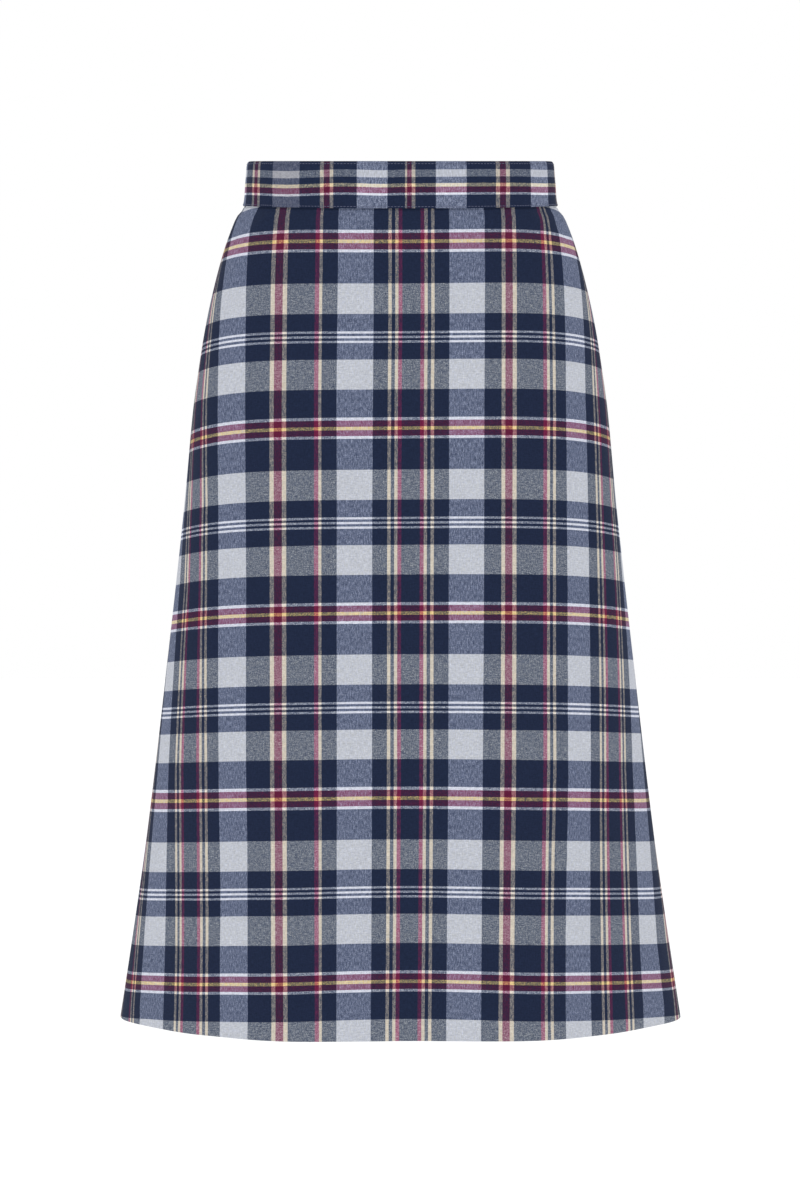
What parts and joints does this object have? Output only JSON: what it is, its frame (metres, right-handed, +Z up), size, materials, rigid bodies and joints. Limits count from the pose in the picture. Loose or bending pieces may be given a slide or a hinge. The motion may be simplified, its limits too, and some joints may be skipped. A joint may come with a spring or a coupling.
{
  "type": "a-line skirt",
  "caption": "A-line midi skirt in a woven cotton check, filled out as when worn, with an open waist and hem, a straight waistband and a concealed back zip.",
  "frame": {"origin": "centre of the waist, half way up the waistband, where the wearer holds the skirt up", "axes": "+Z up, -Y towards the skirt's front, +X to the wearer's left"},
  "size_m": [0.4759, 0.3529, 0.7282],
  "materials": {
    "skirt_cloth": "plain-woven cotton in a navy, pale blue, cream, red and burgundy check, matt",
    "waistband_cloth": "the same checked cotton, folded and topstitched, matt",
    "zip_tape": "navy woven zip tape, matt",
    "zip_metal": "navy enamel, satin"
  },
  "bodies": {
    "skirt": {"front_panel": "skirt_cloth", "back_left_panel": "skirt_cloth", "back_right_panel": "skirt_cloth", "waistband": "waistband_cloth", "zip_tape_left": "zip_tape", "zip_tape_right": "zip_tape", "zip_slider": "zip_metal"},
    "zip_pull": {"zip_pull": "zip_metal"}
  },
  "joints": [
    {"name": "pull_tab_lift", "type": "hinge", "parent": "skirt", "child": "zip_pull", "pos_m": [0, 0.0907, 0.0096], "axis": [1, 0, 0], "range_deg": [0, 150]}
  ]
}
